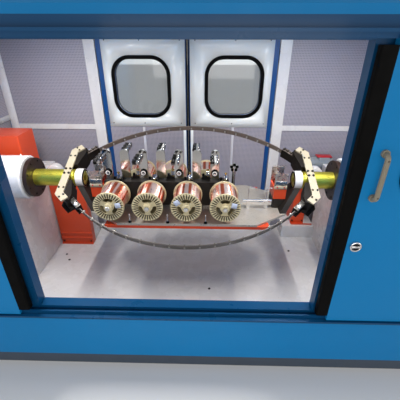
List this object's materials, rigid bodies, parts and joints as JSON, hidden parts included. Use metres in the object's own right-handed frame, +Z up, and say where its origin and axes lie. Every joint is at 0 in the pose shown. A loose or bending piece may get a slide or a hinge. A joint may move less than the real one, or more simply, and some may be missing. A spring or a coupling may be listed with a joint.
{
  "type": "wire bunching machine",
  "caption": "Enclosed double twist wire buncher with spinning bows, a hanging cradle of wire bobbins, tension wheels, sliding front doors and hinged rear doors.",
  "frame": {"origin": "on the floor, under the middle of the rotor axis", "axes": "+X along the rotor axis to the right, +Y away from the operator, +Z up"},
  "size_m": [3.44, 1.7, 1.98],
  "materials": {
    "base_steel": "satin",
    "white_paint": "satin",
    "orange_paint": "satin",
    "dark_blue_paint": "satin",
    "door_blue_paint": "satin",
    "grey_paint": "satin",
    "perforated_liner": "matt",
    "window_glass": "clear",
    "seal_rubber": "matt",
    "handle_plastic": "satin",
    "yellow_zinc": "satin",
    "dark_flange": "satin",
    "cream_zinc": "satin",
    "clamp_black": "satin",
    "bow_strip": "satin",
    "plate_steel": "polished",
    "dark_steel": "satin",
    "tension_grey": "satin",
    "chrome_wheel": "polished",
    "roller_brass": "polished",
    "bobbin_cream": "satin",
    "copper_wire": "polished"
  },
  "bodies": {
    "frame": {"base_frame": "base_steel", "floor_pan": "white_paint", "end_pedestals": "white_paint", "bearing_housings": "white_paint", "belt_guards": "orange_paint", "round_covers": "white_paint", "gear_motor": "grey_paint", "front_frame": "dark_blue_paint", "front_panels": "door_blue_paint", "rear_frame": "white_paint", "rear_panels": "door_blue_paint", "end_walls": "door_blue_paint", "roof": "door_blue_paint", "inner_liners": "perforated_liner", "door_tracks": "dark_blue_paint"},
    "left_door": {"left_door_leaf": "door_blue_paint", "left_door_window": "window_glass", "left_door_seal": "seal_rubber", "left_door_handle": "handle_plastic"},
    "right_door": {"right_door_leaf": "door_blue_paint", "right_door_window": "window_glass", "right_door_seal": "seal_rubber", "right_door_handle": "handle_plastic"},
    "rear_left_door": {"rear_left_leaf": "door_blue_paint", "rear_left_window": "window_glass", "rear_left_liner": "perforated_liner"},
    "rear_right_door": {"rear_right_leaf": "door_blue_paint", "rear_right_window": "window_glass", "rear_right_liner": "perforated_liner"},
    "rotor": {"rotor_shafts": "yellow_zinc", "rotor_flanges": "dark_flange", "bow_brackets": "cream_zinc", "bow_clamps": "clamp_black", "back_bow": "bow_strip", "front_bow": "bow_strip"},
    "cradle": {"cradle_plate": "plate_steel", "cradle_frame": "orange_paint", "cradle_ends": "dark_steel", "cradle_hubs": "white_paint", "spindle_beam": "dark_steel", "tension_posts": "tension_grey", "wire_wheels": "chrome_wheel", "guide_post": "tension_grey", "guide_rods": "chrome_wheel", "end_brackets": "orange_paint", "wire_rollers": "roller_brass"},
    "bobbin_front_1": {"spool_front_1": "bobbin_cream", "winding_front_1": "copper_wire"},
    "bobbin_front_2": {"spool_front_2": "bobbin_cream", "winding_front_2": "copper_wire"},
    "bobbin_front_3": {"spool_front_3": "bobbin_cream", "winding_front_3": "copper_wire"},
    "bobbin_front_4": {"spool_front_4": "bobbin_cream", "winding_front_4": "copper_wire"},
    "bobbin_rear_1": {"spool_rear_1": "bobbin_cream", "winding_rear_1": "copper_wire"},
    "bobbin_rear_2": {"spool_rear_2": "bobbin_cream", "winding_rear_2": "copper_wire"},
    "bobbin_rear_3": {"spool_rear_3": "bobbin_cream", "winding_rear_3": "copper_wire"}
  },
  "joints": [
    {"name": "left_door_slide", "type": "slide", "parent": "frame", "child": "left_door", "axis": [1, 0, 0], "range_m": [0, 0.798]},
    {"name": "right_door_slide", "type": "slide", "parent": "frame", "child": "right_door", "axis": [-1, 0, 0], "range_m": [0, 0.77]},
    {"name": "rear_left_hinge", "type": "hinge", "parent": "frame", "child": "rear_left_door", "pos_m": [-0.743, 0.814, 1.175], "axis": [0, 0, 1], "range_deg": [0, 110]},
    {"name": "rear_right_hinge", "type": "hinge", "parent": "frame", "child": "rear_right_door", "pos_m": [0.743, 0.814, 1.175], "axis": [0, 0, -1], "range_deg": [0, 110]},
    {"name": "rotor_spin", "type": "hinge", "parent": "frame", "child": "rotor", "pos_m": [0, 0, 0.95], "axis": [1, 0, 0], "continuous": true},
    {"name": "cradle_swing", "type": "hinge", "parent": "frame", "child": "cradle", "pos_m": [0, 0, 0.95], "axis": [1, 0, 0], "continuous": true},
    {"name": "bobbin_front_1_spin", "type": "hinge", "parent": "cradle", "child": "bobbin_front_1", "pos_m": [-0.46, -0.2, 0.88], "axis": [0, 1, 0], "continuous": true},
    {"name": "bobbin_front_2_spin", "type": "hinge", "parent": "cradle", "child": "bobbin_front_2", "pos_m": [-0.21, -0.2, 0.88], "axis": [0, 1, 0], "continuous": true},
    {"name": "bobbin_front_3_spin", "type": "hinge", "parent": "cradle", "child": "bobbin_front_3", "pos_m": [0.04, -0.2, 0.88], "axis": [0, 1, 0], "continuous": true},
    {"name": "bobbin_front_4_spin", "type": "hinge", "parent": "cradle", "child": "bobbin_front_4", "pos_m": [0.29, -0.2, 0.88], "axis": [0, 1, 0], "continuous": true},
    {"name": "bobbin_rear_1_spin", "type": "hinge", "parent": "cradle", "child": "bobbin_rear_1", "pos_m": [-0.335, 0.2, 0.88], "axis": [0, 1, 0], "continuous": true},
    {"name": "bobbin_rear_2_spin", "type": "hinge", "parent": "cradle", "child": "bobbin_rear_2", "pos_m": [-0.085, 0.2, 0.88], "axis": [0, 1, 0], "continuous": true},
    {"name": "bobbin_rear_3_spin", "type": "hinge", "parent": "cradle", "child": "bobbin_rear_3", "pos_m": [0.165, 0.2, 0.88], "axis": [0, 1, 0], "continuous": true}
  ]
}
